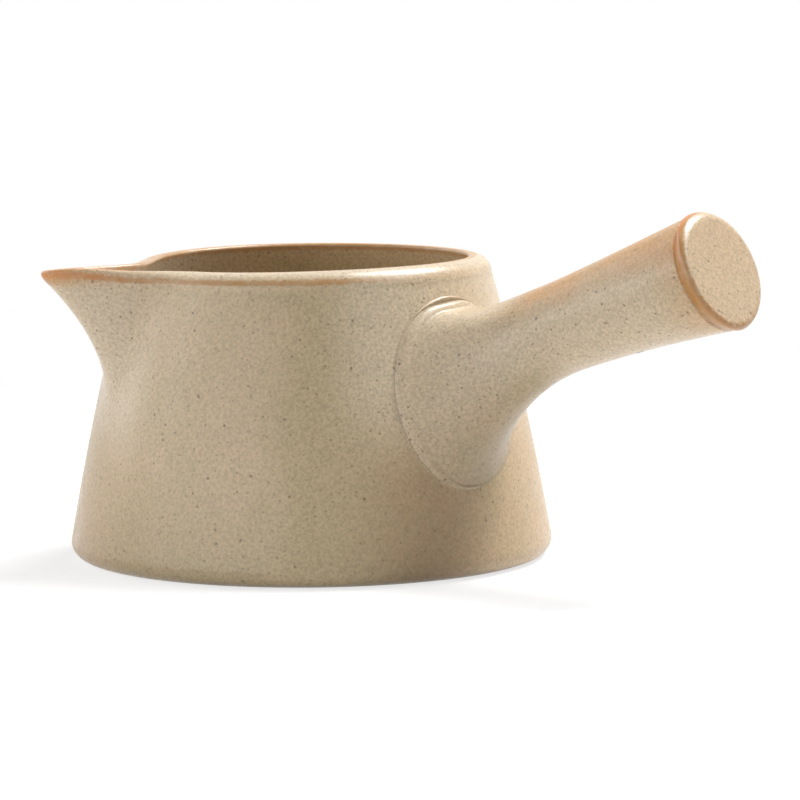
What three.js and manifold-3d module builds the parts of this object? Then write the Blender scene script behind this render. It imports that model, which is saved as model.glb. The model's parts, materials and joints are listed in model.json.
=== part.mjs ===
// A stoneware tea pitcher: a round vessel with a pulled spout, luted to a hollow side handle.
// Millimetres, +Z up. The origin is the centre of the flat base, and the spout points along -X.
import * as THREE from 'three';
import { mergeVertices } from 'three/addons/utils/BufferGeometryUtils.js';
import Module from 'manifold-3d';

const wasm = await Module();
wasm.setup();

const { degToRad, clamp, lerp } = THREE.MathUtils;

// Vessel
const HEIGHT = 59; // base to the top of the rim, on the side away from the spout
const FOOT_RADIUS = 48.1; // where the wall's line meets the table plane
const RIM_RADIUS = 35; // where the wall's line meets the rim plane
const WALL_BULGE = 0.85; // how far the wall swells past a straight line, half way up
const WALL = 3.9; // wall thickness, measured level
const FOOT_ROUND = 3.2; // rounded corner at the foot
const RIM_ROUND = 3.3; // rounded outer edge of the rim
const RIM_INNER_ROUND = 0.6; // tighter inner edge of the rim
const FLOOR_THICKNESS = 5;
const FLOOR_LEDGE = 1.5; // the wall's toe runs in under its inner face by this much
const COIL_LEG = 5; // coil of clay pressed into the corner of wall and floor
const GAP = 0.3; // clearance between neighbouring pieces

// Pulled spout
const SPOUT_REACH = 21; // how far the tip stands out past the round rim
const SPOUT_DROP = 28; // the pull begins this far below the rim
const SPOUT_RISE_POWER = 1.68; // how the pull grows with height
const SPOUT_EASE = 0.06; // softens the line where the pull begins
const SPOUT_SPREAD_TOP = degToRad(11.7); // angle over which the pull fades at the rim
const SPOUT_SPREAD_LOW = degToRad(6); // and where it begins
const SPOUT_TIP_ROUND = degToRad(2.5); // rounds the very tip
const SPOUT_SHARPNESS = 1.8; // 1 is a straight-sided point, 2 a soft bell
const RIM_DIP = 1.1; // the rim sinks this much beside the spout
const RIM_DIP_TURN = degToRad(11); // the lowest place lies on the handle's side of the spout
const RIM_DIP_POWER = 3; // how narrow the dip is

// Side handle: a stem that droops a little, and flares into a mouth pressed on the wall
const HANDLE_TURN = degToRad(122.8); // from the spout to the handle's root, seen from above
const HANDLE_SKEW = degToRad(4); // the stem points this much further round than straight out
const HANDLE_RISE = degToRad(22.5);
const HANDLE_DROP = 19; // the stem's line meets the wall this far below the rim
const HANDLE_LENGTH = 57.3; // from the wall to the closed end
const HANDLE_DROOP = 1.9; // the end hangs this far below the stem's line
const HANDLE_WALL = 4;
const NECK_RADIUS = 8.8; // slimmest place of the stem
const NECK_AT = 20.9; // how far that place is from the wall
const END_RADIUS = 11.7;
const END_SLANT = degToRad(5.9); // the closed end faces this much back from the skew
const STEM_POWER = 1.4; // how the stem widens from its neck to its end
const MOUTH_LONG = 17.5; // half the length of the mouth, an egg-shaped oval
const MOUTH_SPOUT_SIDE = 13; // half its width on the side of the spout
const MOUTH_FAR_SIDE = 18; // and on the other side
const MOUTH_EGG = 0.11; // its top is wider and its bottom narrower by this share
const MOUTH_ASIDE = 6.7; // its centre lies this far from the stem's line, towards the spout
const MOUTH_LOWER = 4.7; // and this far below that line
const MOUTH_LEAN = degToRad(10.7); // its top leans away from the spout
const FLARE_UP = 7.8; // how suddenly the stem opens into its mouth
const FLARE_DOWN = 1.65;
const FLARE_SPOUT_SIDE = 2.3;
const FLARE_FAR_SIDE = 2.7;
const FLARE_LEAN = degToRad(30); // the quarters with these powers are turned away from the spout
const END_ROUND = 2.3; // rounded edge of the closed end
const CAP_THICKNESS = 2.6;
const SLIP_THICKNESS = 0.6; // layer of slip under the end cap
const SLIP_INSET = 0.3; // how far that layer stays inside the stem's outline
const ROOT_SLIP_WIDTH = 1.2; // bead of slip round the mouth
const VENT_RADIUS = 1.2; // pinhole that lets the sealed handle breathe in the kiln
const VENT_AT = 35; // how far the vent is from the wall
const VENT_TURN = degToRad(180); // from the stem's top line

// Fineness of the faceted solids
const WALL_TURNS = 84;
const FLOOR_TURNS = 48;
const HANDLE_TURNS = 36;
const VENT_TURNS = 12;
const WALL_STEPS = 14;
const FLARE_STEPS = 10;
const STEM_STEPS = 7;
const ARC_STEPS = 4;
const TURN_GATHERING = 0.72; // 0 is even facets round the wall, nearer 1 gathers them at the spout
const REACH_STEPS = 14; // steps towards the place where the mouth meets the wall
const HALVINGS = 30; // steps towards the mouth's outline
const CUT_MARGIN = 10; // how far a cutting solid runs past what it cuts

const glaze = { color: 0xb7a380, roughness: 0.45, metalness: 0 };
const slipGlaze = { color: 0xa8784a, roughness: 0.5, metalness: 0 };
const bareClay = { color: 0xb59a7c, roughness: 0.9, metalness: 0 };

const point = (r, z) => new THREE.Vector2(r, z);

function wallRadius(z) {
  const share = z / HEIGHT;
  return lerp(FOOT_RADIUS, RIM_RADIUS, share) + 4 * WALL_BULGE * share * (1 - share);
}

const innerRadius = (z) => wallRadius(z) - WALL;

const FLOOR_RADIUS = innerRadius(FLOOR_THICKNESS) - FLOOR_LEDGE - GAP;

// Points of an arc in the plane of radius and height
function arc(centreR, centreZ, radius, fromDegrees, toDegrees) {
  const points = [];
  for (let i = 0; i <= ARC_STEPS; i++) {
    const a = degToRad(lerp(fromDegrees, toDegrees, i / ARC_STEPS));
    points.push(point(centreR + radius * Math.cos(a), centreZ + radius * Math.sin(a)));
  }
  return points;
}

// Points of a stretch of wall between two heights, its ends left out
function wallLine(radiusAt, fromZ, toZ) {
  const points = [];
  for (let i = 1; i < WALL_STEPS; i++) {
    const z = lerp(fromZ, toZ, i / WALL_STEPS);
    points.push(point(radiusAt(z), z));
  }
  return points;
}

// A solid turned about +Z, its shared vertices merged
function turned(profile, turns) {
  const geometry = new THREE.LatheGeometry(profile, turns);
  geometry.rotateX(Math.PI / 2);
  geometry.deleteAttribute('normal');
  geometry.deleteAttribute('uv');
  return mergeVertices(geometry, 1e-4);
}

// Moves each vertex to the place that a function gives for it
function moved(geometry, place) {
  const position = geometry.attributes.position;
  for (let i = 0; i < position.count; i++) {
    const { x, y, z } = place(new THREE.Vector3().fromBufferAttribute(position, i));
    position.setXYZ(i, x, y, z);
  }
  return geometry;
}

function toManifold(geometry) {
  return new wasm.Manifold(new wasm.Mesh({
    numProp: 3,
    vertProperties: new Float32Array(geometry.attributes.position.array),
    triVerts: new Uint32Array(geometry.index.array),
  }));
}

function fromManifold(solid) {
  const mesh = solid.getMesh();
  const geometry = new THREE.BufferGeometry();
  geometry.setAttribute('position', new THREE.BufferAttribute(new Float32Array(mesh.vertProperties), 3));
  geometry.setIndex(new THREE.BufferAttribute(new Uint32Array(mesh.triVerts), 1));
  return geometry;
}

function piece(name, geometry, finish) {
  geometry.computeVertexNormals();
  const mesh = new THREE.Mesh(geometry, new THREE.MeshStandardMaterial(finish));
  mesh.name = name;
  return mesh;
}

// How far the pull moves the wall outwards, at a height and an angle from the spout
function spoutPull(z, angle) {
  const share = (z - HEIGHT + SPOUT_DROP) / SPOUT_DROP;
  const rise = clamp((share + Math.hypot(share, SPOUT_EASE)) / 2, 0, 1);
  const spread = lerp(SPOUT_SPREAD_LOW, SPOUT_SPREAD_TOP, rise);
  const bell = (a) => Math.exp(-Math.pow(Math.hypot(a, SPOUT_TIP_ROUND) / spread, SPOUT_SHARPNESS));
  return SPOUT_REACH * Math.pow(rise, SPOUT_RISE_POWER) * bell(angle) / bell(0);
}

// How far the wall sinks beside the spout, most of all at the rim
function rimDip(z, angle) {
  const nearness = (1 + Math.cos(angle - RIM_DIP_TURN)) / 2;
  return RIM_DIP * Math.pow(nearness, RIM_DIP_POWER) * Math.pow(clamp(z / HEIGHT, 0, 1), 3);
}

// Pulls the spout out of the turned wall and faces it along -X
function pullSpout(geometry) {
  return moved(geometry, ({ x, y, z }) => {
    const even = Math.atan2(y, x);
    const angle = even - TURN_GATHERING * Math.sin(even);
    const radius = Math.hypot(x, y) + spoutPull(z, angle);
    return new THREE.Vector3(-radius * Math.cos(angle), -radius * Math.sin(angle), z - rimDip(z, angle));
  });
}

// The thrown wall, from the foot's toe up over the rim and down inside
function vesselWall() {
  const seat = FLOOR_RADIUS + GAP;
  const rimRound = Math.min(RIM_ROUND, WALL - RIM_INNER_ROUND);
  const rimOuterZ = HEIGHT - rimRound;
  const rimInnerZ = HEIGHT - RIM_INNER_ROUND;
  return pullSpout(turned([
    point(seat, 0),
    ...arc(wallRadius(FOOT_ROUND) - FOOT_ROUND, FOOT_ROUND, FOOT_ROUND, -90, 0),
    ...wallLine(wallRadius, FOOT_ROUND, rimOuterZ),
    ...arc(wallRadius(rimOuterZ) - rimRound, rimOuterZ, rimRound, 0, 90),
    ...arc(innerRadius(rimInnerZ) + RIM_INNER_ROUND, rimInnerZ, RIM_INNER_ROUND, 90, 180),
    ...wallLine(innerRadius, rimInnerZ, FLOOR_THICKNESS),
    point(innerRadius(FLOOR_THICKNESS), FLOOR_THICKNESS),
    point(seat, FLOOR_THICKNESS),
    point(seat, 0),
  ], WALL_TURNS));
}

// The slab that closes the wide end, flush with the wall's toe
function floorDisc() {
  return turned([
    point(0, 0),
    point(FLOOR_RADIUS, 0),
    point(FLOOR_RADIUS, FLOOR_THICKNESS),
    point(0, FLOOR_THICKNESS),
  ], FLOOR_TURNS);
}

// The hollow-sided coil that seals wall and floor from inside
function floorCoil() {
  const low = FLOOR_THICKNESS + GAP;
  const high = low + COIL_LEG;
  const outerHigh = innerRadius(high) - GAP;
  return turned([
    point(innerRadius(low) - GAP, low),
    ...arc(outerHigh - COIL_LEG, high, COIL_LEG, 0, -90),
    point(innerRadius(low) - GAP, low),
  ], FLOOR_TURNS);
}

// The handle's own frame: out along the stem, up, and sideways to the side away from the spout
const root = new THREE.Vector3(wallRadius(HEIGHT - HANDLE_DROP), 0, HEIGHT - HANDLE_DROP);
const skewed = (x, y, z) => new THREE.Vector3(x, y, z).applyAxisAngle(new THREE.Vector3(0, 0, 1), HANDLE_SKEW);
const out = skewed(Math.cos(HANDLE_RISE), 0, Math.sin(HANDLE_RISE));
const up = skewed(-Math.sin(HANDLE_RISE), 0, Math.cos(HANDLE_RISE));
const side = skewed(0, 1, 0);

const CAP_START = HANDLE_LENGTH - CAP_THICKNESS;
const SLIP_START = CAP_START - GAP - SLIP_THICKNESS;
const STEM_END = SLIP_START - GAP;

// A point at a distance along the stem, a distance from its centreline and a turn from its top line
function handlePoint(along, radius, turn) {
  const share = Math.max(along, 0) / HANDLE_LENGTH;
  const across = radius * Math.sin(turn);
  return root.clone()
    .addScaledVector(out, along + across * Math.tan(END_SLANT) * Math.pow(share, 4))
    .addScaledVector(up, radius * Math.cos(turn) - HANDLE_DROOP * share * share)
    .addScaledVector(side, across);
}

function insideMouth(across, above) {
  const aside = across + MOUTH_ASIDE;
  const high = above + MOUTH_LOWER;
  const length = (aside * Math.sin(MOUTH_LEAN) + high * Math.cos(MOUTH_LEAN)) / MOUTH_LONG;
  const width = aside * Math.cos(MOUTH_LEAN) - high * Math.sin(MOUTH_LEAN);
  const half = (width > 0 ? MOUTH_FAR_SIDE : MOUTH_SPOUT_SIDE) * (1 + MOUTH_EGG * length);
  return Math.hypot(length, width / half) < 1;
}

// How far the mouth's outline is from the stem's line, at a turn from its top line
function mouthRadius(turn) {
  let within = 0;
  let beyond = 2 * (MOUTH_LONG + MOUTH_FAR_SIDE);
  for (let i = 0; i < HALVINGS; i++) {
    const middle = (within + beyond) / 2;
    if (insideMouth(middle * Math.sin(turn), middle * Math.cos(turn))) {
      within = middle;
    } else {
      beyond = middle;
    }
  }
  return within;
}

function flarePower(turn) {
  const lean = turn - FLARE_LEAN;
  const tall = Math.cos(lean) > 0 ? FLARE_UP : FLARE_DOWN;
  const wide = Math.sin(lean) > 0 ? FLARE_FAR_SIDE : FLARE_SPOUT_SIDE;
  return tall * Math.cos(lean) ** 2 + wide * Math.sin(lean) ** 2;
}

// How far along the stem its mouth meets the wall, at a turn from the top line
function mouthReach(turn) {
  let along = 0;
  for (let i = 0; i < REACH_STEPS; i++) {
    const { x, y, z } = handlePoint(along, mouthRadius(turn), turn);
    along -= Math.hypot(x, y) - wallRadius(z);
  }
  return along;
}

function flareRadius(share, turn) {
  return NECK_RADIUS + (mouthRadius(turn) - NECK_RADIUS) * Math.pow(1 - share, flarePower(turn));
}

function stemRadius(along) {
  const share = (along - NECK_AT) / (HANDLE_LENGTH - NECK_AT);
  return NECK_RADIUS + (END_RADIUS - NECK_RADIUS) * Math.pow(share, STEM_POWER);
}

// Lays a turned solid, whose height is a distance along the stem, on the handle
function alongHandle(geometry) {
  return moved(geometry, ({ x, y, z }) => handlePoint(z, Math.hypot(x, y), Math.atan2(x, y)));
}

// The trumpet's whole body from inside the vessel's wall, grown sideways by some clearance
function trumpet(grow, to) {
  const rows = FLARE_STEPS + STEM_STEPS;
  const tube = turned([
    point(0, -1),
    ...Array.from({ length: rows + 2 }, (_, i) => point(1, i - 1)),
    point(0, rows),
  ], HANDLE_TURNS);
  return toManifold(moved(tube, ({ x, y, z }) => {
    const turn = Math.atan2(x, y);
    const onAxis = Math.hypot(x, y) < 0.5;
    const row = Math.round(z);
    const reach = mouthReach(turn);
    let along = lerp(NECK_AT, to, (row - FLARE_STEPS) / STEM_STEPS);
    let radius = stemRadius(Math.max(along, NECK_AT));
    if (row <= FLARE_STEPS) {
      along = row < 0 ? reach - CUT_MARGIN : lerp(reach, NECK_AT, row / FLARE_STEPS);
      radius = flareRadius(Math.max(row, 0) / FLARE_STEPS, turn);
    }
    return handlePoint(along, onAxis ? 0 : radius + grow, turn);
  }));
}

// The vessel's outline as a full round core, grown sideways by some clearance
function vesselCore(grow) {
  const top = HEIGHT + CUT_MARGIN;
  return toManifold(turned([
    point(0, 0),
    point(wallRadius(0) + grow, 0),
    ...wallLine((z) => wallRadius(z) + grow, 0, top),
    point(wallRadius(top) + grow, top),
    point(0, top),
  ], WALL_TURNS));
}

function ventHole() {
  const centre = handlePoint(VENT_AT, stemRadius(VENT_AT) - HANDLE_WALL / 2, VENT_TURN);
  const outside = handlePoint(VENT_AT, stemRadius(VENT_AT), VENT_TURN);
  const drill = new THREE.CylinderGeometry(VENT_RADIUS, VENT_RADIUS, 2 * HANDLE_WALL, VENT_TURNS);
  drill.deleteAttribute('normal');
  drill.deleteAttribute('uv');
  const direction = outside.sub(centre).normalize();
  drill.applyQuaternion(new THREE.Quaternion().setFromUnitVectors(new THREE.Vector3(0, 1, 0), direction));
  drill.translate(centre.x, centre.y, centre.z);
  return toManifold(mergeVertices(drill, 1e-4));
}

// The hollow trumpet, its mouth cut to the vessel's wall
function handleStem() {
  const hollow = trumpet(-HANDLE_WALL, STEM_END + CUT_MARGIN);
  return fromManifold(trumpet(0, STEM_END).subtract(hollow).subtract(vesselCore(GAP)).subtract(ventHole()));
}

// The bead of slip that is squeezed out round the trumpet's mouth
function handleRootSlip() {
  const nearWall = vesselCore(GAP + ROOT_SLIP_WIDTH).subtract(vesselCore(GAP));
  const sleeve = trumpet(GAP + ROOT_SLIP_WIDTH, STEM_END).subtract(trumpet(GAP, STEM_END + GAP));
  return fromManifold(nearWall.intersect(sleeve));
}

function endCap() {
  const endRound = Math.min(END_ROUND, CAP_THICKNESS);
  return alongHandle(turned([
    point(0, CAP_START),
    point(stemRadius(CAP_START), CAP_START),
    ...arc(END_RADIUS - endRound, HANDLE_LENGTH - endRound, endRound, 0, 90),
    point(0, HANDLE_LENGTH),
  ], HANDLE_TURNS));
}

function endCapSlip() {
  const outer = stemRadius(SLIP_START) - SLIP_INSET;
  const inner = stemRadius(SLIP_START) - HANDLE_WALL;
  return alongHandle(turned([
    point(inner, SLIP_START),
    point(outer, SLIP_START),
    point(outer, SLIP_START + SLIP_THICKNESS),
    point(inner, SLIP_START + SLIP_THICKNESS),
    point(inner, SLIP_START),
  ], HANDLE_TURNS));
}

const pitcher = new THREE.Group();
pitcher.add(
  piece('vessel_wall', vesselWall(), glaze),
  piece('floor_disc', floorDisc(), bareClay),
  piece('floor_coil', floorCoil(), glaze),
);

const handle = new THREE.Group();
handle.rotation.z = Math.PI + HANDLE_TURN;
handle.add(
  piece('handle_stem', handleStem(), glaze),
  piece('handle_root_slip', handleRootSlip(), glaze),
  piece('handle_end_cap', endCap(), glaze),
  piece('end_cap_slip', endCapSlip(), slipGlaze),
);
pitcher.add(handle);

export default pitcher;
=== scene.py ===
# A glazed stoneware tea pitcher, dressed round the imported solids. Lengths are millimetres unless a name says
# otherwise; +Z is up, the origin is the centre of the flat base, and the spout points along -X.
import json
import math

import bpy
from mathutils import Matrix, Vector

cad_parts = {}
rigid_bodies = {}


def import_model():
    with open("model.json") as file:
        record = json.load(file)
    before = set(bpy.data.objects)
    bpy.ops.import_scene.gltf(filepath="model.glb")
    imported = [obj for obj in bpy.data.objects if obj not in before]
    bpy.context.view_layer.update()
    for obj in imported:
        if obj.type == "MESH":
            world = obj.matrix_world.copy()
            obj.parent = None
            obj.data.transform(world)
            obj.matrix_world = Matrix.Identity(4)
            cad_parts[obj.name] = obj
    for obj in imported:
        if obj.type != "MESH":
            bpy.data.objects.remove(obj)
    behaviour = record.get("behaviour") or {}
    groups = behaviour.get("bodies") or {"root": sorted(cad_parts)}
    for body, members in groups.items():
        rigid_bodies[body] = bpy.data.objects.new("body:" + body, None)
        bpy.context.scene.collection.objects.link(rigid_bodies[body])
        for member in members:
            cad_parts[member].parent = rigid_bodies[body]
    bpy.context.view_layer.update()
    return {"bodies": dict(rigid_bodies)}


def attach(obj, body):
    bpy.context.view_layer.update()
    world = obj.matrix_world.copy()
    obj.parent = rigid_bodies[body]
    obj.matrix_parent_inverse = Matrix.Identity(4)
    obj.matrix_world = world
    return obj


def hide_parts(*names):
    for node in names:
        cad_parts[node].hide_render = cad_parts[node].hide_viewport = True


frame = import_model()
BODY = next(iter(frame["bodies"]))
MM = 0.001

# Vessel, the same sizes as the solids
HEIGHT = 59.0
FOOT_RADIUS = 48.1
RIM_RADIUS = 35.0
WALL_BULGE = 0.85
WALL = 3.9
FOOT_ROUND = 3.2
RIM_ROUND = 3.3
RIM_INNER_ROUND = 0.6
FLOOR_THICKNESS = 5.0
FLOOR_LEDGE = 1.5
COIL_LEG = 5.0
GAP = 0.3
FLOOR_RINGS = (28.0, 14.0, 0.0)

# Under the floor, the skins of the vessel and of the slab are a hair apart
SKIN_UNDERSIDE = FLOOR_THICKNESS - 0.4
SLAB_TOP = FLOOR_THICKNESS - 0.6
SLAB_FIT = 0.9 * GAP
SLAB_BEVEL = 0.2

# Pulled spout
SPOUT_REACH = 21.0
SPOUT_DROP = 28.0
SPOUT_RISE_POWER = 1.68
SPOUT_EASE = 0.06
SPOUT_SPREAD_TOP = math.radians(11.7)
SPOUT_SPREAD_LOW = math.radians(6)
SPOUT_TIP_ROUND = math.radians(2.5)
SPOUT_SHARPNESS = 1.8
RIM_DIP = 1.1
RIM_DIP_TURN = math.radians(11)
RIM_DIP_POWER = 3
RIM_DIP_RISE_POWER = 3

# The lip beside the spout's tip: high on the handle's side, a little low on the far side
LIP_POWER = 10
LIP_HIGH = 0.7
LIP_HIGH_AT = math.radians(5.5)
LIP_HIGH_SPREAD = math.radians(4.5)
LIP_LOW = 0.35
LIP_LOW_AT = math.radians(22)
LIP_LOW_SPREAD = math.radians(16)

# Side handle
HANDLE_TURN = math.radians(122.8)
HANDLE_SKEW = math.radians(4)
HANDLE_RISE = math.radians(22.5)
HANDLE_DROP = 19.0
HANDLE_LENGTH = 57.3
HANDLE_DROOP = 1.9
NECK_RADIUS = 8.8
NECK_AT = 20.9
END_RADIUS = 11.7
END_SLANT = math.radians(5.9)
END_ROUND = 2.3
END_ROUND_TIGHT = 0.8
END_TIGHT_TURN = math.radians(-115)
END_RINGS = (0.0, 3.0, 6.0)
CAP_THICKNESS = 2.6
CAP_CLEARANCE = 0.04
STEM_POWER = 1.4
FLARE_UP = 7.8
FLARE_DOWN = 1.65
FLARE_SPOUT_SIDE = 2.3
FLARE_FAR_SIDE = 2.7
FLARE_LEAN = math.radians(30)
ROOT_DEPTH = 2.5
ROOT_DEPTH_BLENDED = 0.5
ROOT_OVERLAP = 2.0
VENT_RADIUS = 1.2
VENT_AT = 35.0
VENT_DEPTH = 3.5
DRILL_OUT = 2.0

# The seam where the handle's mouth meets the wall: an egg-shaped oval beside and below the stem's line, with
# the step of clay and slip round it
SEAM_LONG = 18.5
SEAM_SPOUT_SIDE = 14.0
SEAM_FAR_SIDE = 19.0
SEAM_EGG = 0.11
SEAM_ASIDE = 6.7
SEAM_LOWER = 4.7
SEAM_LEAN = math.radians(10.7)
STEP = 1.3
STEP_TURN = math.radians(-68)
STEP_SHARPNESS = 0.9
STEP_ROUNDNESS = 1.5
BEAD = 0.25
BEAD_AT_TOP = 1.5
BEAD_TURN = math.radians(-24)
BEAD_SPREAD = math.radians(19)
BEAD_LIFT = 0.45
BEAD_INSET = 0.75
BEAD_FULLNESS = 0.7
# How much painted shade the groove inside the bead gets, against the dark line at the bead's outer edge
INNER_GROOVE_SHADE = 0.35

# Fineness of the skins, and the rounds of the searches for the wall and the seam
WALL_TURNS = 360
TURN_GATHERING = 0.72
BASE_TURNS = 120
HANDLE_TURNS = 144
VENT_TURNS = 40
OUTSIDE_STEPS = 74
INSIDE_STEPS = 70
SHOULDER_STEPS = 22
RIM_INNER_STEPS = 6
SLIP_STEPS = 8
FLARE_STEPS = 48
FLARE_GATHERING = 1.25
STEM_STEPS = 64
END_STEPS = 18
REACH_ROUNDS = 16
SEAM_ROUNDS = 30

# Camera, standing in front of the pitcher a little above its rim
CAMERA_TURN = math.radians(250)
CAMERA_DISTANCE = 805.0
CAMERA_HEIGHT = 123.0
AIM_RIGHT = 17.67
AIM_HEIGHT = 30.18
CAMERA_ROLL = math.radians(0.383)
LENS = 184.33
SENSOR_WIDTH = 36

# Soft lamps: turn from the camera towards its right and height above the table in degrees, distance,
# width and height of the panel in metres, power in watts
LAMPS = [
    ("key_softbox", 120, 60, 0.9, 0.45, 0.45, 11.5),
    ("right_softbox", 70, 48, 0.9, 0.45, 0.45, 1.8),
    ("front_left_softbox", -50, 12, 0.9, 1.4, 0.6, 3.2),
    ("back_left_softbox", -110, 25, 0.9, 1.2, 0.7, 3.6),
]
WORLD_LIGHT = 0.04

# The white paper under the pitcher: its size and its drop below the base in metres, how pale it is where it
# lights the pitcher, how bright it shows by itself, how much the lamps add to that, and over which distances
# in metres it fades into the white ground
FLOOR_SIZE = 8
FLOOR_DROP = 0.0002
PAPER = (0.8, 0.8, 0.8)
PAPER_GLOW = 0.72
PAPER_LIT = (0.36, 0.36, 0.36)
PAPER_FADE = (0.16, 0.32)

# Colours as linear light
KHAKI = (0.53, 0.42, 0.25)
PINKISH = (0.62, 0.46, 0.295)
# Painted light: the pale colour that the glaze is lifted to where sheen, a highlight or more light falls
PAINTED_LIGHT_GLAZE = (0.68, 0.565, 0.41)
FLASH = (0.60, 0.335, 0.14)
IRON_BROWN = (0.41, 0.21, 0.07)
RUST = (0.62, 0.23, 0.06)
SPECK_BROWN = (0.17, 0.125, 0.075)
# Painted shade: the dark colour for the seam's grooves, the root's lower flank and the wall under the root
SHADE_BROWN = (0.15, 0.115, 0.07)
BLACK = (0.0, 0.0, 0.0)
CLAY_DARK = (0.36, 0.26, 0.17)
CLAY_PALE = (0.52, 0.40, 0.28)

# Roughness of the glaze, from its shinier to its duller patches, and of bare clay; bumps in millimetres
SATIN = (0.27, 0.37)
CLAY_ROUGHNESS = 0.9
GLAZE_BUMP = 0.05
CLAY_BUMP = 0.25

# Specks in the glaze: spacing and radius in millimetres, share of the places that hold one, how dark
SPECKS = [(1.1, 0.27, 0.6, 0.45), (1.9, 0.32, 0.5, 0.65), (3.2, 0.38, 0.5, 0.85)]
GRAIN_SHARE = 0.7
GRAIN_DARKENING = 0.37
# How far painted shade darkens the glaze at most
SHADE_SHARE = 0.5

# The brown line where the glaze breaks over an edge: how far its border wanders, where it ends, and where
# it is full, all as shares of the line's width
EDGE_RAGGED = 2.6
EDGE_END = 1.35
EDGE_FULL = 0.5

# Marks on the vessel: how far the rim's top reaches down and the bare foot reaches up in millimetres, how far
# the toasted tip spreads in degrees, and the turn of the vessel's front, opposite the browner far rim
RIM_TOP = 1.2
BARE_FOOT = 0.35
TIP_SPREAD = 9
FRONT_TURN = math.radians(70)

# The rim's brown line: how far below the top it runs and how wide it is in millimetres, outside, at the
# spout's tip and inside; and how brown it is outside, past the handle, inside and on the far rim's top
RIM_LINE = (1.85, 0.55)
TIP_LINE = (0.9, 0.9)
INSIDE_LINE = (0.5, 0.8)
RIM_BROWN = 0.85
PAST_HANDLE_BROWN = 0.17
INSIDE_BROWN = 0.75
FAR_TOP_BROWN = 0.8


def lerp(a, b, t):
    return a + (b - a) * t


def clamp(v, low=0.0, high=1.0):
    return max(low, min(high, v))


def smooth(edge0, edge1, v):
    t = clamp((v - edge0) / (edge1 - edge0))
    return t * t * (3 - 2 * t)


def signed_turn(angle):
    """The same angle between -pi and pi."""
    return (angle + math.pi) % (2 * math.pi) - math.pi


def turn_between(a, b):
    """The angle between two turns, in degrees from 0 to 180."""
    return math.degrees(abs(signed_turn(a - b)))


def facing(turn, degrees, none, full):
    """How much a turn faces another: 0 where their cosine is below none, 1 where it is above full."""
    return smooth(none, full, math.cos(turn - math.radians(degrees)))


def hump(rise, full, fall, end, v):
    """0 before rise, 1 between full and fall, 0 after end."""
    return smooth(rise, full, v) * (1 - smooth(fall, end, v))


def all_round(count):
    return [2 * math.pi * j / count for j in range(count)]


def wall_radius(z):
    share = z / HEIGHT
    return lerp(FOOT_RADIUS, RIM_RADIUS, share) + 4 * WALL_BULGE * share * (1 - share)


def inner_radius(z):
    return wall_radius(z) - WALL


FLOOR_RADIUS = inner_radius(FLOOR_THICKNESS) - FLOOR_LEDGE - GAP


def spout_pull(z, angle):
    share = (z - HEIGHT + SPOUT_DROP) / SPOUT_DROP
    rise = clamp((share + math.hypot(share, SPOUT_EASE)) / 2)
    spread = lerp(SPOUT_SPREAD_LOW, SPOUT_SPREAD_TOP, rise)

    def bell(a):
        return math.exp(-((math.hypot(a, SPOUT_TIP_ROUND) / spread) ** SPOUT_SHARPNESS))

    return SPOUT_REACH * rise**SPOUT_RISE_POWER * bell(angle) / bell(0)


def rim_dip(z, angle):
    nearness = (1 + math.cos(angle - RIM_DIP_TURN)) / 2
    return RIM_DIP * nearness**RIM_DIP_POWER * clamp(z / HEIGHT) ** RIM_DIP_RISE_POWER


def lip_rise(z, angle):
    """The spout's lip stands up beside its tip on the handle's side and is a little low on the far side."""
    beside = math.exp(-(((angle - LIP_HIGH_AT) / LIP_HIGH_SPREAD) ** 2))
    across = math.exp(-(((angle + LIP_LOW_AT) / LIP_LOW_SPREAD) ** 2))
    return (LIP_HIGH * beside - LIP_LOW * across) * clamp(z / HEIGHT) ** LIP_POWER


def gathered(even):
    """An even turn round the wall, gathered towards the spout."""
    even = signed_turn(even)
    return even - TURN_GATHERING * math.sin(even)


def place_wall(r, z, even):
    if r == 0:
        return Vector((0, 0, z))
    angle = gathered(even)
    radius = r + spout_pull(z, angle)
    height = z - rim_dip(z, angle) + lip_rise(z, angle)
    return Vector((-radius * math.cos(angle), -radius * math.sin(angle), height))


def arc(centre_r, centre_z, radius, start, end, steps=14):
    points = []
    for i in range(steps + 1):
        a = math.radians(lerp(start, end, i / steps))
        points.append((centre_r + radius * math.cos(a), centre_z + radius * math.sin(a)))
    return points


def wall_line(radius_at, start, end, steps):
    """Profile points between two heights, without its ends."""
    heights = [lerp(start, end, i / steps) for i in range(1, steps)]
    return [(radius_at(z), z) for z in heights]


# Values per vertex that the glaze reads: how far it is from a brown edge, how brown that edge is (under the
# handle's root, how brown the painted shadow there is), how much flame colour lies there, whether the clay is
# bare, how much painted shade darkens it, how much painted light brightens it and how pink it is
MARKS = ("from_edge", "edge_brown_and_painted_shadow", "toasted", "bare_foot", "painted_shade", "painted_light", "blush")


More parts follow.
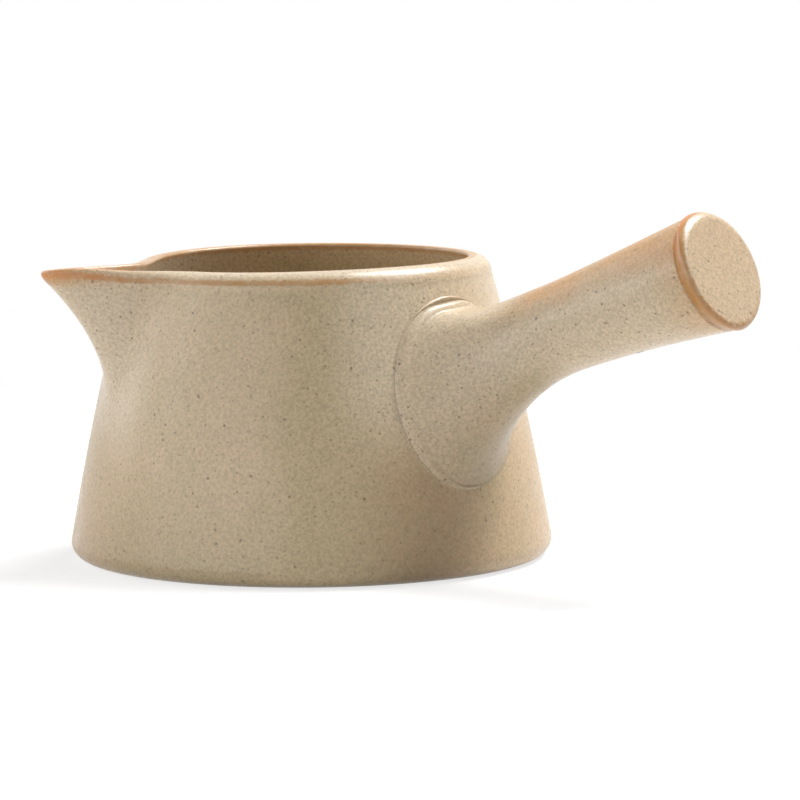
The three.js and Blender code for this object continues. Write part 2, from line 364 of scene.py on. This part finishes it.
def new_piece(name, rows, material, replaced, marks=None):
    """A closed smooth skin from rows of points, each a ring or a single point.

    marks holds, per vertex, the values named in MARKS.
    """
    verts = []
    index = []
    turns = max(len(row) for row in rows)
    for row in rows:
        first = len(verts)
        verts += row
        index.append([first + (j if len(row) > 1 else 0) for j in range(turns)])
    faces = []
    for low, high in zip(index, index[1:]):
        for j in range(turns):
            k = (j + 1) % turns
            corners = [low[j], low[k], high[k], high[j]]
            face = [c for n, c in enumerate(corners) if c not in corners[:n]]
            if len(face) > 2:
                faces.append(face)
    mesh = bpy.data.meshes.new(name)
    mesh.from_pydata([v * MM for v in verts], [], faces)
    mesh.validate()
    for polygon in mesh.polygons:
        polygon.use_smooth = True
    for n, mark in enumerate(MARKS):
        layer = mesh.attributes.new(mark, "FLOAT", "POINT")
        if marks:
            layer.data.foreach_set("value", [values[n] for values in marks])
    mesh.materials.append(material)
    piece = bpy.data.objects.new(name, mesh)
    bpy.context.scene.collection.objects.link(piece)
    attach(piece, BODY)
    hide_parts(*replaced)
    return piece


class Shader:
    """A material's node tree, with short names for the nodes used here."""

    def __init__(self, name):
        self.material = bpy.data.materials.new(name)
        self.material.use_nodes = True
        self.tree = self.material.node_tree
        self.tree.nodes.clear()
        self.output = self.node("ShaderNodeOutputMaterial")

    def node(self, kind, **values):
        made = self.tree.nodes.new(kind)
        for key, value in values.items():
            setattr(made, key, value)
        return made

    def put(self, value, socket):
        if isinstance(value, bpy.types.NodeSocket):
            self.tree.links.new(value, socket)
        elif isinstance(value, tuple):
            socket.default_value = (*value, 1)
        else:
            socket.default_value = value

    def coordinates(self):
        return self.node("ShaderNodeTexCoord").outputs["Object"]

    def noise(self, scale, detail=2.0, roughness=0.5):
        """Soft noise between 0 and 1; scale in features per metre."""
        made = self.node("ShaderNodeTexNoise")
        self.put(float(scale), made.inputs["Scale"])
        self.put(detail, made.inputs["Detail"])
        self.put(roughness, made.inputs["Roughness"])
        self.put(self.coordinates(), made.inputs["Vector"])
        return made.outputs["Fac"]

    def remap(self, value, low, high, to_low=0.0, to_high=1.0):
        made = self.node("ShaderNodeMapRange", interpolation_type="SMOOTHSTEP")
        for socket, number in zip(made.inputs, (value, low, high, to_low, to_high)):
            self.put(number, socket)
        return made.outputs[0]

    def calculate(self, operation, a, b=0.0):
        made = self.node("ShaderNodeMath", operation=operation)
        self.put(a, made.inputs[0])
        self.put(b, made.inputs[1])
        return made.outputs[0]

    def mix(self, factor, a, b):
        made = self.node("ShaderNodeMix", data_type="RGBA")
        self.put(factor, made.inputs[0])
        self.put(a, made.inputs[6])
        self.put(b, made.inputs[7])
        return made.outputs[2]

    def mark(self, name):
        return self.node("ShaderNodeAttribute", attribute_name=name).outputs["Fac"]

    def specks(self, cell, radius, share):
        """Dots in some of the cells of a grid of irregular cells; cell and radius in millimetres."""
        cells = self.node("ShaderNodeTexVoronoi")
        self.put(1 / (cell * MM), cells.inputs["Scale"])
        self.put(self.coordinates(), cells.inputs["Vector"])
        dot = self.remap(cells.outputs["Distance"], radius / cell, 0.5 * radius / cell)
        parts = self.node("ShaderNodeSeparateColor")
        self.put(cells.outputs["Color"], parts.inputs[0])
        chosen = self.calculate("LESS_THAN", parts.outputs[0], share)
        return self.calculate("MULTIPLY", dot, chosen)

    def bump(self, height, depth, strength=1.0):
        made = self.node("ShaderNodeBump")
        self.put(strength, made.inputs["Strength"])
        self.put(depth * MM, made.inputs["Distance"])
        self.put(height, made.inputs["Height"])
        return made.outputs[0]


def bare_clay_colour(shader):
    return shader.mix(shader.remap(shader.noise(260, 5.0, 0.6), 0.3, 0.7), CLAY_DARK, CLAY_PALE)


def make_bare_clay():
    shader = Shader("bare_clay")
    surface = shader.node("ShaderNodeBsdfPrincipled")
    shader.put(bare_clay_colour(shader), surface.inputs["Base Color"])
    shader.put(CLAY_ROUGHNESS, surface.inputs["Roughness"])
    shader.put(shader.bump(shader.noise(1500, 4.0), CLAY_BUMP), surface.inputs["Normal"])
    shader.put(surface.outputs[0], shader.output.inputs[0])
    return shader.material


def glaze_body(shader):
    """Khaki glaze clouded with pink, pinker where the marks say so, and lightened as painted light where they
    say so.
    """
    clouds = shader.remap(shader.noise(55, 4.0), 0.4, 0.7, 0.0, 0.7)
    pink = shader.calculate("MAXIMUM", clouds, shader.mark("blush"))
    return shader.mix(shader.mark("painted_light"), shader.mix(pink, KHAKI, PINKISH), PAINTED_LIGHT_GLAZE)


def flame_amount(shader):
    """How much flame colour lies in the glaze, in soft patches."""
    patches = shader.remap(shader.noise(110, 3.0), 0.3, 0.6, 0.6, 1.0)
    return shader.calculate("MULTIPLY", shader.mark("toasted"), patches)


def speckled(shader, colour):
    """A colour with the fine grain of the clay and its dark specks showing through."""
    grain = shader.remap(shader.noise(1700, 3.0, 0.7), 0.35, 0.65, GRAIN_SHARE, 0.0)
    colour = shader.mix(grain, colour, shader.mix(GRAIN_DARKENING, colour, BLACK))
    for cell, radius, share, depth in SPECKS:
        spots = shader.calculate("MULTIPLY", shader.specks(cell, radius, share), depth)
        colour = shader.mix(spots, colour, SPECK_BROWN)
    return colour


def brown_edge_and_shadow_amount(shader):
    """How brown the glaze is where it breaks over an edge, a ragged and patchy band, and where the painted
    shadow under the handle's root is laid in brown.
    """
    wander = shader.calculate("SUBTRACT", shader.noise(900, 4.0, 0.75), 0.5)
    ragged = shader.calculate("MULTIPLY", wander, EDGE_RAGGED)
    from_edge = shader.calculate("ABSOLUTE", shader.calculate("ADD", shader.mark("from_edge"), ragged))
    band = shader.remap(from_edge, EDGE_END, EDGE_FULL)
    patchy = shader.remap(shader.noise(220, 3.0, 0.7), 0.35, 0.6, 0.65, 1.0)
    marked = shader.calculate("MULTIPLY", band, shader.mark("edge_brown_and_painted_shadow"))
    return shader.calculate("MULTIPLY", marked, patchy)


def make_glaze():
    shader = Shader("speckled_glaze")
    surface = shader.node("ShaderNodeBsdfPrincipled")
    flame = flame_amount(shader)
    colour = speckled(shader, shader.mix(flame, glaze_body(shader), FLASH))
    # Painted shade darkens the glaze in the seam's grooves, on the root's lower flank and on the wall under
    # the root
    painted_shade = shader.calculate("MULTIPLY", shader.mark("painted_shade"), SHADE_SHARE)
    colour = shader.mix(painted_shade, colour, SHADE_BROWN)
    # Brown where the glaze breaks over edges, and brown painted shadow under the handle's root
    colour = shader.mix(brown_edge_and_shadow_amount(shader), colour, shader.mix(flame, IRON_BROWN, RUST))

    bare = shader.mark("bare_foot")
    shader.put(shader.mix(bare, colour, bare_clay_colour(shader)), surface.inputs["Base Color"])
    satin = shader.remap(shader.noise(300, 3.0), 0.3, 0.7, *SATIN)
    roughness = shader.calculate("MAXIMUM", satin, shader.calculate("MULTIPLY", bare, CLAY_ROUGHNESS))
    shader.put(roughness, surface.inputs["Roughness"])
    shader.put(shader.bump(shader.noise(650, 3.0), GLAZE_BUMP), surface.inputs["Normal"])
    shader.put(surface.outputs[0], shader.output.inputs[0])
    return shader.material


glaze = make_glaze()
bare_clay = make_bare_clay()


def rim_line(angle, below, outside, tip, clear_of_handle):
    """How far a point lies from the rim's brown line, and how brown the line is there."""
    centre, width = INSIDE_LINE
    strength = INSIDE_BROWN
    if outside:
        centre, width = [lerp(on_rim, at_tip, tip) for on_rim, at_tip in zip(RIM_LINE, TIP_LINE)]
        strength = lerp(lerp(PAST_HANDLE_BROWN, RIM_BROWN, clear_of_handle), 1.0, tip)
    edge = (below - centre) / width
    if below < RIM_TOP:
        far = smooth(95, 120, turn_between(angle, FRONT_TURN))
        edge = lerp(edge, 0.0, far)
        strength = lerp(strength, FAR_TOP_BROWN, far)
    return edge, strength


def vessel_marks(r, z, even):
    """The rim's brown line, the toasted tip, the bare foot, pink patches, painted light and a painted shadow.

    The patches' borders are in degrees from the spout, in millimetres above the base by z, and in millimetres
    below the rim's top by below.
    """
    angle = gathered(even)
    from_spout = math.degrees(angle)
    below = HEIGHT - z
    outside = r > wall_radius(z) - WALL / 2
    tip = math.exp(-((from_spout / TIP_SPREAD) ** 2))
    clear_of_handle = 1 - smooth(75, 110, from_spout)
    off_front = smooth(20, 60, abs(from_spout - 65))
    toasted = off_front * lerp(0.22, 0.1, smooth(12, 38, z)) + tip * (1 - smooth(2, 4, below))
    bare = float(z < BARE_FOOT and r > 1 and outside)
    blush = 0.6 * (1 - smooth(2, 5, below))
    # Painted light inside the vessel, on the far side of the spout
    painted_light = 0.9 * (1 - smooth(15, 75, abs(from_spout + 25)))
    painted_root_shadow = 0.0
    if outside:
        # Painted light outside: a sheen on the upper wall towards the handle, a lighter underside of the spout
        # and a highlight along the rim's top
        by_handle = 0.75 * hump(70, 88, 150, 175, from_spout) * smooth(22, 38, z)
        by_spout = (1 - smooth(6, 26, abs(from_spout))) * smooth(18, 34, z)
        on_rim = 0.8 * clear_of_handle * (1 - tip) * (1 - smooth(0.3, 1.6, below))
        painted_light = max(by_handle, by_spout, on_rim)
        blush = max(blush, 0.7 * hump(118, 140, 145, 178, from_spout))
        # Painted shadow of the handle's root on the wall below it, laid in as brown and as painted shade
        painted_root_shadow = hump(74, 96, 100, 120, from_spout) * (1 - smooth(17, 29, z))
    if z < HEIGHT / 2:
        return (0.0, 0.25 * painted_root_shadow, toasted, bare, 0.45 * painted_root_shadow, painted_light, blush)
    edge, strength = rim_line(angle, below, outside, tip, clear_of_handle)
    return (edge, strength, toasted, bare, 0.0, painted_light, blush)


def make_vessel():
    foot_r = wall_radius(FOOT_ROUND)
    rim_round = min(RIM_ROUND, WALL - RIM_INNER_ROUND)
    shoulder = HEIGHT - rim_round
    rim_inner = HEIGHT - RIM_INNER_ROUND
    floor = FLOOR_THICKNESS + GAP
    coil_top = floor + COIL_LEG
    seat = FLOOR_RADIUS + GAP
    profile = [
        (0.0, SKIN_UNDERSIDE),
        (seat / 2, SKIN_UNDERSIDE),
        (seat, SKIN_UNDERSIDE),
        (seat, 0.0),
        *arc(foot_r - FOOT_ROUND, FOOT_ROUND, FOOT_ROUND, -90, 0),
        *wall_line(wall_radius, FOOT_ROUND, shoulder, OUTSIDE_STEPS),
        *arc(wall_radius(shoulder) - rim_round, shoulder, rim_round, 0, 90, SHOULDER_STEPS),
        *arc(inner_radius(rim_inner) + RIM_INNER_ROUND, rim_inner, RIM_INNER_ROUND, 90, 180, RIM_INNER_STEPS),
        *wall_line(inner_radius, rim_inner, coil_top, INSIDE_STEPS),
        *arc(inner_radius(coil_top) - COIL_LEG, coil_top, COIL_LEG, 0, -90),
        *[(r, floor) for r in FLOOR_RINGS],
    ]
    rows = []
    marks = []
    for r, z in profile:
        turns = all_round(WALL_TURNS)[: None if r > 0 else 1]
        rows.append([place_wall(r, z, turn) for turn in turns])
        marks += [vessel_marks(r, z, turn) for turn in turns]
    new_piece("vessel", rows, glaze, ("vessel_wall", "floor_coil"), marks)


def make_base():
    rim = FLOOR_RADIUS + SLAB_FIT
    profile = [
        (0.0, 0.0),
        (rim / 2, 0.0),
        (rim - SLAB_BEVEL, 0.0),
        (rim, SLAB_BEVEL),
        (rim, SLAB_TOP),
        (0.0, SLAB_TOP),
    ]
    rows = []
    for r, z in profile:
        turns = all_round(BASE_TURNS)[: None if r > 0 else 1]
        rows.append([Vector((r * math.cos(a), r * math.sin(a), z)) for a in turns])
    new_piece("base_slab", rows, bare_clay, ("floor_disc",))


HANDLE_ROOT = Vector((wall_radius(HEIGHT - HANDLE_DROP), 0, HEIGHT - HANDLE_DROP))
SKEWED = Matrix.Rotation(HANDLE_SKEW, 3, "Z")
ALONG = SKEWED @ Vector((math.cos(HANDLE_RISE), 0, math.sin(HANDLE_RISE)))
UP = SKEWED @ Vector((-math.sin(HANDLE_RISE), 0, math.cos(HANDLE_RISE)))
SIDE = SKEWED @ Vector((0, 1, 0))
TO_HANDLE = Matrix.Rotation(math.pi + HANDLE_TURN, 3, "Z")
CAP_START = HANDLE_LENGTH - CAP_THICKNESS


def in_handle_frame(along, radius, turn):
    share = max(along, 0.0) / HANDLE_LENGTH
    across = radius * math.sin(turn)
    forward = along + across * math.tan(END_SLANT) * share**4
    lift = radius * math.cos(turn) - HANDLE_DROOP * share**2
    return HANDLE_ROOT + ALONG * forward + UP * lift + SIDE * across


def place_handle(along, radius, turn):
    """A point at a distance along the stem, from its centreline, and at a turn from its top line."""
    return TO_HANDLE @ in_handle_frame(along, radius, turn)


def wall_reach(radius, turn):
    """How far along the stem a line beside it meets the vessel's wall."""
    along = 0.0
    for _ in range(REACH_ROUNDS):
        p = in_handle_frame(along, radius, turn)
        along -= math.hypot(p.x, p.y) - wall_radius(p.z)
    return along


def inside_seam(across, above):
    aside = across + SEAM_ASIDE
    high = above + SEAM_LOWER
    length = (aside * math.sin(SEAM_LEAN) + high * math.cos(SEAM_LEAN)) / SEAM_LONG
    width = aside * math.cos(SEAM_LEAN) - high * math.sin(SEAM_LEAN)
    half = (SEAM_FAR_SIDE if width > 0 else SEAM_SPOUT_SIDE) * (1 + SEAM_EGG * length)
    return math.hypot(length, width / half) < 1


def seam_radius(turn):
    """How far the seam is from the stem's line, at a turn from its top line, found by halving."""
    within = 0.0
    beyond = 2 * (SEAM_LONG + SEAM_FAR_SIDE)
    for _ in range(SEAM_ROUNDS):
        middle = (within + beyond) / 2
        if inside_seam(middle * math.sin(turn), middle * math.cos(turn)):
            within = middle
        else:
            beyond = middle
    return within


def flare_power(turn):
    lean = turn - FLARE_LEAN
    tall = FLARE_UP if math.cos(lean) > 0 else FLARE_DOWN
    wide = FLARE_FAR_SIDE if math.sin(lean) > 0 else FLARE_SPOUT_SIDE
    return tall * math.cos(lean) ** 2 + wide * math.sin(lean) ** 2


def blend(turn):
    """0 where the root ends in a step on the wall, 1 where it runs smoothly into the wall."""
    return smooth(70, 100, turn_between(turn, STEP_TURN))


def step_size(turn):
    return STEP * (1 - smooth(45, 110, turn_between(turn, STEP_TURN)))


def bead_width(turn):
    """The bead of slip along the seam, widest at its top."""
    off = signed_turn(turn - BEAD_TURN) / BEAD_SPREAD
    return lerp(BEAD, BEAD_AT_TOP, math.exp(-(off**2)))


def stem_radius(along):
    share = (along - NECK_AT) / (HANDLE_LENGTH - NECK_AT)
    return NECK_RADIUS + (END_RADIUS - NECK_RADIUS) * share**STEM_POWER


def stem_line(turn):
    """Distances along, radii and painted shade of the handle's skin at one turn, from inside the wall to the
    cap.
    """
    seam = seam_radius(turn)
    blended = blend(turn)
    bead = bead_width(turn)
    step = step_size(turn)
    root = seam + ROOT_OVERLAP * blended
    depth = lerp(ROOT_DEPTH, ROOT_DEPTH_BLENDED, blended)
    line = [(wall_reach(root, turn) - depth, root, 1 - blended)]
    for i in range(SLIP_STEPS + 1):
        share = i / SLIP_STEPS
        radius = seam - BEAD_INSET * bead * share
        lift = BEAD_LIFT * bead * math.sin(math.pi * share) ** BEAD_FULLNESS * (1 - blended)
        # Along the seam, a thin dark line where the bead meets the wall, partly a dark joint and partly
        # painted shade, and painted shade in the groove inside the bead
        painted_shade = (1 - blended) * max(smooth(0.2, 0, share), INNER_GROOVE_SHADE * smooth(0.8, 1, share))
        line.append((wall_reach(radius, turn) + lift, radius, painted_shade))
    lip = seam - bead
    for i in range(1, SLIP_STEPS + 1):
        a = math.pi / 2 * i / SLIP_STEPS
        radius = lip - STEP_ROUNDNESS * step * (1 - math.cos(a) ** STEP_SHARPNESS)
        line.append((wall_reach(radius, turn) + step * math.sin(a) ** STEP_SHARPNESS, radius, 0.0))
    start, mouth, _ = line[-1]
    for i in range(1, FLARE_STEPS + 1):
        t = (i / FLARE_STEPS) ** FLARE_GATHERING
        radius = NECK_RADIUS + (mouth - NECK_RADIUS) * (1 - t) ** flare_power(turn)
        foot = lerp(start, wall_reach(radius, turn), blended)
        line.append((lerp(foot, NECK_AT, t ** (1 + 0.4 * blended)), radius, 0.0))
    for i in range(1, STEM_STEPS + 1):
        along = lerp(NECK_AT, CAP_START, i / STEM_STEPS)
        line.append((along, stem_radius(along), 0.0))
    return line


def end_round(turn):
    """The rounding of the closed end, tighter low on the spout's side."""
    return lerp(END_ROUND_TIGHT, END_ROUND, smooth(30, 100, turn_between(turn, END_TIGHT_TURN)))


def end_line(turn):
    """Distances along and radii of the closed end at one turn, from its face back to the stem."""
    rounding = end_round(turn)
    face = [(HANDLE_LENGTH, radius) for radius in END_RINGS]
    edge = arc(END_RADIUS - rounding, HANDLE_LENGTH - rounding, rounding, 90, 0, END_STEPS)
    start = CAP_START + CAP_CLEARANCE
    back = [(start, stem_radius(CAP_START)), (start, 0.0)]
    return face + [(along, radius) for radius, along in edge] + back


def handle_marks(along, turn, painted_shade=0.0, inward=0.0):
    """The brown ring round the closed end, flame colour on the upper side, painted light on the rest, and
    painted shade under the root.

    Distances along the stem are in millimetres. The third argument is how much painted shade the point has
    already, and inward is how far a point of the closed end's face is from its edge.
    """
    upper = facing(turn, 5, 0.0, 0.8)
    low = facing(turn, 180, -0.2, 0.7)
    lower_far = facing(turn, 130, -0.2, 0.8)
    spout_side = facing(turn, -110, 0.1, 0.8)
    # Under the root: no painted light, and painted shade on its lower flank
    under_root = facing(turn, 180, 0.3, 0.95) * (1 - smooth(12, 22, along))
    shaded_root = facing(turn, 160, 0.2, 0.9) * (1 - smooth(12, 24, along))
    on_stem = upper * smooth(8, 22, along)
    on_cap = smooth(CAP_START, CAP_START + 1, along)

    ring = CAP_START + lerp(0.9, 1.8, max(lower_far, 0.8 * spout_side))
    towards_face = 1 + 0.6 * low + 0.6 * lower_far
    towards_stem = 0.9 + 1.1 * max(lower_far, spout_side)
    edge = (along + inward - ring) / (towards_face if along > ring else towards_stem)

    toasted = on_stem + 0.3 * smooth(44, 54, along)
    toasted *= 1 - smooth(CAP_START + 0.6, CAP_START + 1.6, along + inward)
    toasted *= 1 - low * smooth(CAP_START - 1, CAP_START, along)
    # Painted light on the stem's sides and underside and on the root, kept off the root's underside and fading
    # towards the end
    painted_light = 0.8 * (1 - on_stem) * (1 - 0.6 * smooth(40, 54, along)) * (1 - under_root) * (1 - 0.6 * on_cap)
    painted_shade = max(painted_shade, 0.5 * shaded_root)
    return (edge, 1.0, clamp(toasted + 0.1), 0.0, painted_shade, painted_light, 0.85 * on_cap)


def make_stem(turns):
    lines = [stem_line(turn) for turn in turns]
    rows = [[place_handle(CAP_START, 0, 0)]]
    marks = [handle_marks(CAP_START, 0)]
    for ring in reversed(list(zip(*lines))):
        rows.append([place_handle(along, radius, turn) for (along, radius, _), turn in zip(ring, turns)])
        marks += [handle_marks(along, turn, painted_shade) for (along, _, painted_shade), turn in zip(ring, turns)]
    rows.append([TO_HANDLE @ (HANDLE_ROOT - ALONG * ROOT_DEPTH)])
    marks.append(handle_marks(0, 0))
    replaced = ("handle_stem", "handle_root_slip", "end_cap_slip")
    stem = new_piece("handle", rows, glaze, replaced, marks)
    pierce_vent(stem)


def make_end(turns):
    rows = []
    marks = []
    for ring in zip(*[end_line(turn) for turn in turns]):
        alone = ring[0][1] == 0
        points = list(zip(ring, turns))[: 1 if alone else None]
        rows.append([place_handle(along, radius, turn) for (along, radius), turn in points])
        for (along, radius), turn in points:
            on_back = along < CAP_START + 0.1
            inward = 0.0 if on_back else max(0.0, END_RADIUS - radius)
            marks.append(handle_marks(along, turn, inward=inward))
    new_piece("handle_end", rows, glaze, ("handle_end_cap",), marks)


def pierce_vent(handle):
    """Cuts the pinhole in the stem's underside."""
    deep = place_handle(VENT_AT, stem_radius(VENT_AT) - VENT_DEPTH, math.pi)
    outside = place_handle(VENT_AT, stem_radius(VENT_AT) + DRILL_OUT, math.pi)
    length = (outside - deep).length
    bpy.ops.mesh.primitive_cylinder_add(vertices=VENT_TURNS, radius=VENT_RADIUS * MM, depth=length * MM)
    drill = bpy.context.object
    drill.rotation_mode = "QUATERNION"
    drill.rotation_quaternion = (outside - deep).to_track_quat("Z", "Y")
    drill.location = (outside + deep) / 2 * MM
    for polygon in drill.data.polygons:
        polygon.use_smooth = True
    cut = handle.modifiers.new("vent", "BOOLEAN")
    cut.operation = "DIFFERENCE"
    cut.solver = "EXACT"
    cut.object = drill
    bpy.context.view_layer.objects.active = handle
    bpy.ops.object.modifier_apply(modifier=cut.name)
    bpy.data.objects.remove(drill)


make_vessel()
make_base()
handle_turns = all_round(HANDLE_TURNS)
make_stem(handle_turns)
make_end(handle_turns)


def make_camera():
    data = bpy.data.cameras.new("camera")
    data.lens = LENS
    data.sensor_width = SENSOR_WIDTH
    data.clip_start = 0.05
    data.clip_end = 20
    camera = bpy.data.objects.new("camera", data)
    bpy.context.scene.collection.objects.link(camera)
    out = Vector((math.cos(CAMERA_TURN), math.sin(CAMERA_TURN), 0))
    right = Vector((-out.y, out.x, 0))
    place = out * CAMERA_DISTANCE + Vector((0, 0, CAMERA_HEIGHT))
    aim = right * AIM_RIGHT + Vector((0, 0, AIM_HEIGHT))
    look = (aim - place).to_track_quat("-Z", "Y")
    camera.matrix_world = Matrix.LocRotScale(place * MM, look, None) @ Matrix.Rotation(-CAMERA_ROLL, 4, "Z")
    bpy.context.scene.camera = camera


def make_lamp(name, turn, height, distance, wide, tall, power):
    data = bpy.data.lights.new(name, "AREA")
    data.shape = "ELLIPSE"
    data.size = wide
    data.size_y = tall
    data.energy = power
    lamp = bpy.data.objects.new(name, data)
    bpy.context.scene.collection.objects.link(lamp)
    around = CAMERA_TURN + math.radians(turn)
    level = math.cos(math.radians(height))
    away = Vector((level * math.cos(around), level * math.sin(around), math.sin(math.radians(height))))
    lamp.location = away * distance + Vector((0, 0, AIM_HEIGHT * MM))
    lamp.rotation_euler = (-away).to_track_quat("-Z", "Y").to_euler()


def seen_directly(tree):
    """1 for rays that show the background: from the camera, or mirrored or passed through."""
    path = tree.nodes.new("ShaderNodeLightPath")
    total = path.outputs["Is Camera Ray"]
    for kind in ("Is Glossy Ray", "Is Transmission Ray"):
        both = tree.nodes.new("ShaderNodeMath")
        both.operation = "MAXIMUM"
        tree.links.new(total, both.inputs[0])
        tree.links.new(path.outputs[kind], both.inputs[1])
        total = both.outputs[0]
    return total


def make_world():
    world = bpy.data.worlds.new("studio")
    bpy.context.scene.world = world
    world.use_nodes = True
    tree = world.node_tree
    strength = tree.nodes.new("ShaderNodeMapRange")
    strength.inputs["To Min"].default_value = WORLD_LIGHT
    strength.inputs["To Max"].default_value = 1.0
    tree.links.new(seen_directly(tree), strength.inputs["Value"])
    tree.links.new(strength.outputs[0], tree.nodes["Background"].inputs["Strength"])
    tree.nodes["Background"].inputs["Color"].default_value = (1, 1, 1, 1)


def make_floor():
    """White paper: it lights the pitcher as pale paper does, and shows white with a faint shadow."""
    bpy.ops.mesh.primitive_plane_add(size=FLOOR_SIZE, location=(0, 0, -FLOOR_DROP))
    floor = bpy.context.object
    floor.name = "floor"
    shader = Shader("paper")
    paper = shader.node("ShaderNodeBsdfDiffuse")
    shader.put(PAPER, paper.inputs["Color"])
    glow = shader.node("ShaderNodeEmission")
    shader.put(PAPER_GLOW, glow.inputs["Strength"])
    lit = shader.node("ShaderNodeBsdfDiffuse")
    shader.put(PAPER_LIT, lit.inputs["Color"])
    near = shader.node("ShaderNodeAddShader")
    shader.put(glow.outputs[0], near.inputs[0])
    shader.put(lit.outputs[0], near.inputs[1])
    far = shader.node("ShaderNodeEmission")
    distance = shader.node("ShaderNodeVectorMath", operation="LENGTH")
    shader.put(shader.coordinates(), distance.inputs[0])
    shown = shader.node("ShaderNodeMixShader")
    shader.put(shader.remap(distance.outputs["Value"], *PAPER_FADE), shown.inputs[0])
    shader.put(near.outputs[0], shown.inputs[1])
    shader.put(far.outputs[0], shown.inputs[2])
    either = shader.node("ShaderNodeMixShader")
    shader.put(seen_directly(shader.tree), either.inputs[0])
    shader.put(paper.outputs[0], either.inputs[1])
    shader.put(shown.outputs[0], either.inputs[2])
    shader.put(either.outputs[0], shader.output.inputs[0])
    floor.data.materials.append(shader.material)


make_camera()
for lamp in LAMPS:
    make_lamp(*lamp)
make_world()
make_floor()
bpy.context.scene.view_settings.view_transform = "Standard"
